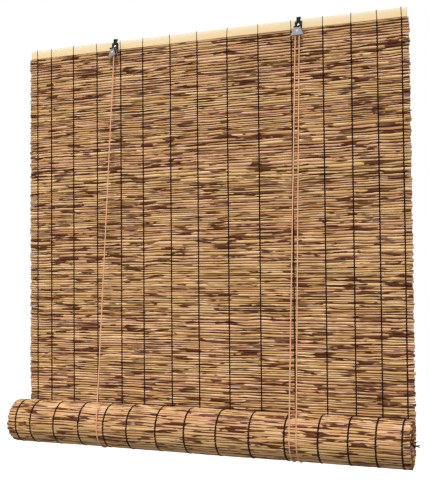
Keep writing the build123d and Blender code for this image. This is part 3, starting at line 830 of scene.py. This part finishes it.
class BLIND_OT_warp_threads(Operator):
    """Twine two strands of yarn round every reed of the mat, and loop them over the batten"""

    bl_idname = "blind.warp_threads"
    bl_label = "Warp threads"

    def execute(self, context):
        reeds, threads = context.scene.blind_reeds, context.scene.blind_threads
        weave = mat_weave(reeds)
        chance = np.random.default_rng(reeds.seed + 4)
        yarn = thread_yarn(threads)
        top = mat_high.z - mat_low.z
        split = never_wound - mat_low.z
        clear = threads.thickness / 2 + LOOP_GAP
        front_y, back_y = batten_low.y - clear, batten_high.y + clear
        edge_z = batten_high.z - LOOP_EDGE
        over_z = batten_high.z + clear
        up_marks = np.arange(split, top - threads.step, threads.step)
        low_marks = np.arange(0, split + threads.step, threads.step)
        for node, x in zip(thread_nodes, thread_places):
            top_x = x + chance.uniform(-1, 1) * threads.lean
            loop = [
                (x, front_y, batten_low.z),
                (top_x, front_y, edge_z),
                (top_x, front_y + LOOP_EDGE, over_z),
                (top_x, back_y - LOOP_EDGE, over_z),
                (top_x, back_y, edge_z),
                (x, back_y, batten_low.z),
            ]
            front = self.way(weave, x, up_marks, 1, threads)
            back = self.way(weave, x, up_marks, -1, threads)
            full = [threads.width] * len(up_marks)
            widths = full + [threads.loop_width] * len(loop) + full
            upper = TubeMesh(THREAD_SIDES, 1)
            add_strand(upper, np.concatenate([front, loop, back[::-1]]), threads, widths)
            lower = TubeMesh(THREAD_SIDES, 2)
            for side in (1, -1):
                add_strand(lower, self.way(weave, x, low_marks, side, threads), threads)
            for part, mesh in (("upper", upper), ("lower", lower)):
                piece = mesh.build(node.replace("warp_", "") + "_" + part, yarn)
                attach(piece, "blind_head")
                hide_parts(node)
                if part == "lower":
                    wind_up(piece)
        return {"FINISHED"}

    def way(self, weave, x, marks, side, threads):
        """A strand's way up the mat: before one reed, behind the next, and past its fellow between them."""
        aside, out = weave.strand(x, marks, side, threads)
        return np.stack([x + aside, (mat_low.y + mat_high.y) / 2 - out, mat_low.z + marks], axis=1)


class BLIND_OT_reed_roll(Operator):
    """Wind the rest of the reeds into a spiral: the outer turns whole, the inner ones at both ends"""

    bl_idname = "blind.reed_roll"
    bl_label = "Reed roll"

    def execute(self, context):
        reeds = context.scene.blind_reeds
        spiral = Spiral(reeds)
        weave = roll_weave(reeds)
        outer = TubeMesh(reeds.sides, weave.rows)
        for row in range(weave.rows):
            xs, marks = weave.reed_places(row), weave.middles[row]
            inset = reeds.depth / 2 + weave.shifts[row] - surface_wave(reeds, xs, marks)
            centres, along, out = spiral.place(xs, marks, inset)
            add_reed(outer, reeds, xs, centres, -along * weave.halves[row][:, None], out * weave.depths[row])
        skin = reed_skin(reeds, "reed_skin_roll", weave.rows, mat_high.x - mat_low.x)
        whole = outer.build("roll_reeds", skin)

        chance = np.random.default_rng(reeds.seed + 2)
        marks = [spiral.starts[reeds.whole]]
        while marks[-1] < spiral.starts[-1]:
            marks.append(marks[-1] + chance.uniform(reeds.thinnest, reeds.thickest))
        marks = np.array(marks)
        stubs = TubeMesh(reeds.sides, 2 * (len(marks) - 1))
        for start, end in zip(marks, marks[1:]):
            for edge, way in ((mat_low.x, 1), (mat_high.x, -1)):
                tip = edge + way * abs(chance.normal(0, reeds.ragged / 2))
                xs = np.sort([tip, tip + way * reeds.stub])
                middle = np.full(2, (start + end) / 2)
                centres, along, out = spiral.place(xs, middle, np.full(2, reeds.depth / 2))
                up = along * (end - start) / 2 * chance.uniform(*INNER_HEIGHTS)
                back = out * reeds.depth / 2 * chance.uniform(*INNER_DEPTHS)
                add_reed(stubs, reeds, xs, centres, up, back)
        skin = reed_skin(reeds, "reed_skin_ends", stubs.strips, reeds.stub)
        inner = stubs.build("roll_inner_turns", skin)
        for made in (whole, inner):
            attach(made, "roll")
            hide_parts("reed_roll")
        return {"FINISHED"}


class BLIND_OT_roll_threads(Operator):
    """Twine the threads on round the roll, and leave a loose tuft at its right end"""

    bl_idname = "blind.roll_threads"
    bl_label = "Roll threads"

    def execute(self, context):
        reeds, threads = context.scene.blind_reeds, context.scene.blind_threads
        yarn = thread_yarn(threads)
        spiral = Spiral(reeds)
        weave = roll_weave(reeds)
        mesh = TubeMesh(THREAD_SIDES, 2 * len(thread_places))
        marks = np.arange(0, spiral.starts[2] - THREAD_STOP, threads.step)
        for x in thread_places:
            xs = np.full(len(marks), x)
            wave = surface_wave(reeds, xs, marks)
            for side in (1, -1):
                aside, out = weave.strand(x, marks, side, threads)
                line = spiral.place(xs + aside, marks, reeds.depth / 2 - out - wave)[0]
                add_strand(mesh, line, threads, [threads.roll_width] * len(line))
        piece = mesh.build("threads_round_roll", yarn)
        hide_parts("roll_threads")
        loose = self.tuft(threads, np.random.default_rng(reeds.seed + 3)).build("loose_thread_ends", yarn)
        for made in (piece, loose):
            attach(made, "roll")
        return {"FINISHED"}

    def tuft(self, threads, chance):
        """Loose ends that stick out of the roll's right end, every third one lying up its face."""
        mesh = TubeMesh(TUFT_SIDES, TUFT_STRANDS)
        root = Vector((mat_high.x, roll_axis.y, roll_axis.z)) + Vector(TUFT_PLACE)
        for number in range(TUFT_STRANDS):
            limits = TUFT_UPWARD if number % 3 == 2 else TUFT_OUTWARD
            way = Vector(chance.uniform(*limits)).normalized()
            bend = Vector(chance.uniform(-TUFT_BEND, TUFT_BEND, 3))
            start = root + Vector(chance.uniform(-TUFT_SPREAD, TUFT_SPREAD, 3))
            line = []
            for share in np.linspace(0, 1, TUFT_POINTS):
                reach = threads.tuft_length * chance.uniform(TUFT_LEAST, 1.0) * share
                line.append(tuple(start + way * reach + bend * reach * share))
            centres, directions, marks = evenly(line, TUFT_STEP)
            across, up = section_axes(directions, (0, 0, 1))
            rings = ring_points(centres, across * TUFT_RADIUS, up * TUFT_RADIUS, TUFT_SIDES)
            mesh.add(rings, body_of_strip(marks))
        return mesh


# Lift cords
CORD_NAMES = "left", "right_inner", "right_outer"


class CordPlan:
    """Where the cords run, read from the construction."""

    def __init__(self, cords):
        self.slings = {}
        for name in CORD_NAMES:
            low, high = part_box("cord_sling_" + name)
            self.slings[name] = (low.x + high.x) / 2
        self.sling_radius = roll_axis.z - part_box("cord_sling_left")[0].z - cords.radius - cords.sink
        back_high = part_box("cord_back_run")[1]
        self.cross_z = back_high.z - cords.radius
        self.cross_y = back_high.y - cords.radius
        self.foot_y = roll_axis.y + self.sling_radius

    def sheave(self, side):
        """Centre of a sheave, and the level direction in which its cord leaves it."""
        joint = joints["sheave_turn_" + side]
        axle = Vector(joint["axis"]).normalized()
        return Vector(joint["pos_m"]), axle.cross(Vector((0, 0, 1)))

    def front(self, name, cords):
        """Top and foot of a front strand, and the angle at which it meets the roll."""
        side = name.split("_")[0]
        centre, way = self.sheave(side)
        if name == "right_inner":
            way = -way
        top = centre + way * cords.sheave_radius
        dy, dz = top.y - roll_axis.y, top.z - roll_axis.z
        angle = math.atan2(dz, dy) + math.pi / 2 - math.asin(self.sling_radius / math.hypot(dy, dz))
        return top, Vector(self.on_roll(name, angle)), angle

    def on_roll(self, name, angle):
        """A place on a sling, at an angle round the roll from straight back."""
        y = roll_axis.y + self.sling_radius * math.cos(angle)
        return self.slings[name], y, roll_axis.z + self.sling_radius * math.sin(angle)


def finish_cord(mesh, name, braid, body, nodes, squash_to=None):
    """Build a cord piece and tie it to its body. One that shortens, given a height, gets a mesh of its own.
    """
    piece = mesh.build(name, braid)
    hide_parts(*nodes)
    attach(piece, body)
    if squash_to is not None:
        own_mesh(piece)


def lay_cord(line, cords, name, braid, body, node, squash_to=None, side=(1, 0, 0)):
    """One length of cord as a piece of its own."""
    mesh = TubeMesh(CORD_SIDES, 1)
    add_cord(mesh, line, cords, side)
    finish_cord(mesh, name, braid, body, [node], squash_to)


def add_knot(mesh, middle, climb, cords):
    """A stopper knot: the cord wraps a few times round itself, upwards for a climb of 1, down for -1."""
    line = []
    for mark in np.linspace(0, KNOT_TURNS, KNOT_POINTS):
        turn = mark * 2 * math.pi
        rise = climb * (mark - KNOT_TURNS / 2) * KNOT_PITCH
        out = Vector((math.cos(turn), math.sin(turn), 0)) * KNOT_RADIUS
        line.append(tuple(middle + out + Vector((0, 0, rise))))
    add_cord(mesh, line, cords, side=(0, 0, 1), radius=KNOT_YARN)


class BLIND_OT_lift_cords(Operator):
    """Run the braided cords from the sheaves under the roll and up its back, with their knots"""

    bl_idname = "blind.lift_cords"
    bl_label = "Lift cords"

    def execute(self, context):
        cords = context.scene.blind_cords
        plan = CordPlan(cords)
        braid = braided_yarn(cords)
        for name in plan.slings:
            node = "cord_front_" + name
            top, foot, angle = plan.front(name, cords)
            split = top + (foot - top) * (cords.bend_height / (top.z - foot.z))
            head = TubeMesh(CORD_SIDES, 1)
            add_cord(head, [top, split], cords)
            piece = head.build(node + "_top", braid)
            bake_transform(piece)
            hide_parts(node)
            lay_cord([split, foot], cords, node + "_strand", braid, "blind_head", node, split.z)
            arc = [plan.on_roll(name, turn) for turn in np.linspace(angle, 2 * math.pi, SLING_POINTS)]
            lay_cord(arc, cords, "sling_" + name, braid, "cord_slings", "cord_sling_" + name)
            x = plan.slings[name]
            bend = plan.cross_z - BACK_BEND
            back = [(x, plan.foot_y, roll_axis.z), (x, plan.cross_y, bend)]
            owner = "cord_back_right_outer" if name == "right_outer" else "cord_back_run"
            lay_cord(back, cords, "back_strand_" + name, braid, "blind_head", owner, bend)
        self.cross_run(plan, cords, braid)
        self.over_sheaves(plan, cords, braid)
        return {"FINISHED"}

    def cross_run(self, plan, cords, braid):
        """The run along the batten's back, and the third strand's knot above its staple."""
        bend, y = plan.cross_z - BACK_BEND, plan.cross_y
        left, right = plan.slings["left"], plan.slings["right_inner"]
        centre_z = plan.cross_z - CORNER_RADIUS
        line = [(left, y, bend)]
        for centre_x, start in ((left + CORNER_RADIUS, math.pi), (right - CORNER_RADIUS, math.pi / 2)):
            for angle in start - np.linspace(0, math.pi / 2, CORNER_POINTS):
                x = centre_x + CORNER_RADIUS * math.cos(angle)
                line.append((x, y, centre_z + CORNER_RADIUS * math.sin(angle)))
        line.append((right, y, bend))
        lay_cord(line, cords, "cord_cross_run", braid, "blind_head", "cord_back_run", side=(0, 1, 0))
        staple_z = sum(corner.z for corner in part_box("cord_staple_right_outer")) / 2
        knot = Vector((plan.slings["right_outer"], y, staple_z + KNOT_ABOVE_STAPLE))
        mesh = TubeMesh(CORD_SIDES, 2)
        add_cord(mesh, [(knot.x, y, bend), (knot.x, y, knot.z + KNOT_TAIL)], cords)
        add_knot(mesh, knot, 1, cords)
        finish_cord(mesh, "cord_back_knot", braid, "blind_head", ["cord_back_right_outer"])

    def over_sheaves(self, plan, cords, braid):
        """The half turns over the sheaves. The left one ends in a knot under its sheave."""
        for side in ("left", "right"):
            centre, way = plan.sheave(side)
            line = []
            for turn in np.linspace(math.pi, 0, SHEAVE_POINTS):
                out = way * math.cos(turn) + Vector((0, 0, math.sin(turn)))
                line.append(tuple(centre + out * cords.sheave_radius))
            mesh = TubeMesh(CORD_SIDES, 3 if side == "left" else 1)
            add_cord(mesh, line, cords, side=tuple(way.cross(Vector((0, 0, 1)))))
            if side == "left":
                start = centre - way * cords.sheave_radius
                knot = start - Vector((0, 0, KNOT_UNDER_SHEAVE))
                add_cord(mesh, [start, knot - Vector((0, 0, KNOT_TAIL))], cords)
                add_knot(mesh, knot, -1, cords)
            finish_cord(mesh, "cord_on_sheave_" + side, braid, "block_" + side, ["cord_over_" + side])


class BLIND_OT_fittings(Operator):
    """Finish the batten, the rod, the hangers, the pulley blocks and the staples"""

    bl_idname = "blind.fittings"
    bl_label = "Batten and fittings"

    def execute(self, context):
        looks = context.scene.blind_fittings
        slat = planed_bamboo("planed_bamboo", looks.bamboo_pale, looks.bamboo, looks.bamboo_warm)
        dress("head_batten", slat)
        rod = planed_bamboo("round_bamboo", looks.rod, looks.rod, looks.bamboo_warm, 0.55)
        dress("bottom_rod", rod)
        lacquer = worn_metal("black_lacquer", looks.lacquer, 0.45, metallic=0.0, mottle=0.3, specular=0.2)
        zinc = worn_metal("zinc_plate", looks.zinc, 0.38, mottle=0.5, scale=260)
        nickel = worn_metal("bright_nickel", looks.nickel, 0.2, mottle=0.1)
        nylon = worn_metal("moulded_nylon", looks.nylon, 0.5, metallic=0.0, mottle=0.2)
        wire = worn_metal("galvanised_wire", looks.wire, 0.4, mottle=0.3)
        for side in ("left", "right"):
            dress("hanger_plate_" + side, lacquer)
            dress("hanger_screw_" + side, nickel)
            dress("swivel_rivet_" + side, nickel)
            dress("pulley_block_" + side, zinc)
            dress("axle_pin_" + side, nickel)
            dress("sheave_" + side, nylon)
        for name in CORD_NAMES:
            dress("cord_staple_" + name, wire)
        return {"FINISHED"}


class BLIND_OT_stage(Operator):
    """Set the pale floor, the soft light, the white surround and the camera"""

    bl_idname = "blind.stage"
    bl_label = "Studio and camera"

    def execute(self, context):
        studio = context.scene.blind_stage
        self.floor(studio)
        self.surround(context, studio)
        self.sun("key_lamp", studio.sun, studio.sun_spread, studio.sun_side, studio.sun_height)
        behind = studio.sun_side + math.pi
        self.sun("back_lamp", studio.back_sun, studio.back_spread, behind, studio.back_height)
        self.fill_lamp(studio)
        self.camera(context, studio)
        context.scene.view_settings.view_transform = "Standard"
        return {"FINISHED"}

    def floor(self, studio):
        size = studio.floor_size / 2
        z = cad_low.z - studio.floor_drop
        mesh = bpy.data.meshes.new("studio_floor")
        corners = [(-size, -size, z), (size, -size, z), (size, size, z), (-size, size, z)]
        mesh.from_pydata(corners, [], [(0, 1, 2, 3)])
        recipe = Recipe("pale_floor")
        recipe.nodes.remove(recipe.shader)
        diffuse = recipe.node("ShaderNodeBsdfDiffuse", {"Color": (studio.floor_grey,) * 3 + (1,)})
        strength = recipe.times(recipe.seen_directly(), studio.floor_glow)
        glow = recipe.node("ShaderNodeEmission", {"Strength": strength})
        both = recipe.node("ShaderNodeAddShader", {0: diffuse.outputs[0], 1: glow.outputs[0]})
        recipe.put(recipe.nodes["Material Output"].inputs["Surface"], both.outputs[0])
        mesh.materials.append(recipe.material)
        floor = put_in_scene("studio_floor", mesh)

    def surround(self, context, studio):
        world = bpy.data.worlds.new("white_surround")
        context.scene.world = world
        tree = NodeTree(world)
        inputs = {"Value": tree.seen_directly(), "To Min": studio.sky, "To Max": 1}
        background = tree.nodes["Background"]
        tree.put(background.inputs["Color"], (1, 1, 1, 1))
        tree.put(background.inputs["Strength"], tree.node("ShaderNodeMapRange", inputs).outputs["Result"])

    def sun(self, name, strength, spread, side, height):
        """A lamp far away, to one side of straight on and above level."""
        light = bpy.data.lights.new(name, "SUN")
        light.energy = strength
        light.angle = spread
        lamp = put_in_scene(name, light)
        level = math.cos(height)
        from_here = Vector((-math.sin(side) * level, -math.cos(side) * level, math.sin(height)))
        lamp.rotation_mode = "QUATERNION"
        lamp.rotation_quaternion = from_here.to_track_quat("Z", "Y")

    def fill_lamp(self, studio):
        light = bpy.data.lights.new("fill_lamp", "AREA")
        light.energy = studio.fill
        light.size = studio.fill_size
        place = Vector(studio.fill_place)
        aim = Vector((mat_low.x, mat_low.y, (mat_low.z + mat_high.z) / 2))
        turn = (place - aim).to_track_quat("Z", "Y").to_matrix().to_4x4()
        put_in_scene("fill_lamp", light).matrix_world = Matrix.Translation(place) @ turn

    def camera(self, context, studio):
        data = bpy.data.cameras.new("camera")
        data.sensor_width = 36
        data.lens = studio.lens
        camera = put_in_scene("camera", data)
        turn = Matrix.Rotation(studio.yaw, 4, "Z") @ Matrix.Rotation(math.pi / 2 + studio.pitch, 4, "X")
        camera.matrix_world = Matrix.Translation(studio.eye) @ turn @ Matrix.Rotation(studio.roll, 4, "Z")
        context.scene.camera = camera


class BLIND_PT_panel(Panel):
    """Sizes, colours and steps of the blind"""

    bl_label = "Reed blind"
    bl_space_type = "VIEW_3D"
    bl_region_type = "UI"
    bl_category = "Reed blind"

    def draw(self, context):
        for group, steps in SECTIONS:
            box = self.layout.box()
            settings = getattr(context.scene, group)
            for name in settings.__annotations__:
                box.prop(settings, name)
            for step in steps:
                box.operator(step.bl_idname)


SETTINGS = {
    "blind_reeds": ReedSettings,
    "blind_threads": ThreadSettings,
    "blind_cords": CordSettings,
    "blind_fittings": FittingSettings,
    "blind_stage": StageSettings,
}
SECTIONS = (
    ("blind_reeds", (BLIND_OT_reed_mat, BLIND_OT_reed_roll)),
    ("blind_threads", (BLIND_OT_warp_threads, BLIND_OT_roll_threads)),
    ("blind_cords", (BLIND_OT_lift_cords,)),
    ("blind_fittings", (BLIND_OT_fittings,)),
    ("blind_stage", (BLIND_OT_stage,)),
)
STEPS = tuple(step for _, steps in SECTIONS for step in steps)
CLASSES = (*SETTINGS.values(), *STEPS, BLIND_PT_panel)


def register():
    for made in CLASSES:
        bpy.utils.register_class(made)
    for name, settings in SETTINGS.items():
        setattr(bpy.types.Scene, name, PointerProperty(type=settings))


def unregister():
    for name in SETTINGS:
        delattr(bpy.types.Scene, name)
    for made in reversed(CLASSES):
        bpy.utils.unregister_class(made)


def main():
    register()
    bpy.ops.blind.stage()
    bpy.ops.blind.lift_cords()
    bpy.ops.blind.fittings()
    bpy.ops.blind.reed_mat()
    bpy.ops.blind.reed_roll()
    bpy.ops.blind.warp_threads()
    bpy.ops.blind.roll_threads()


if __name__ == "__main__":
    main()
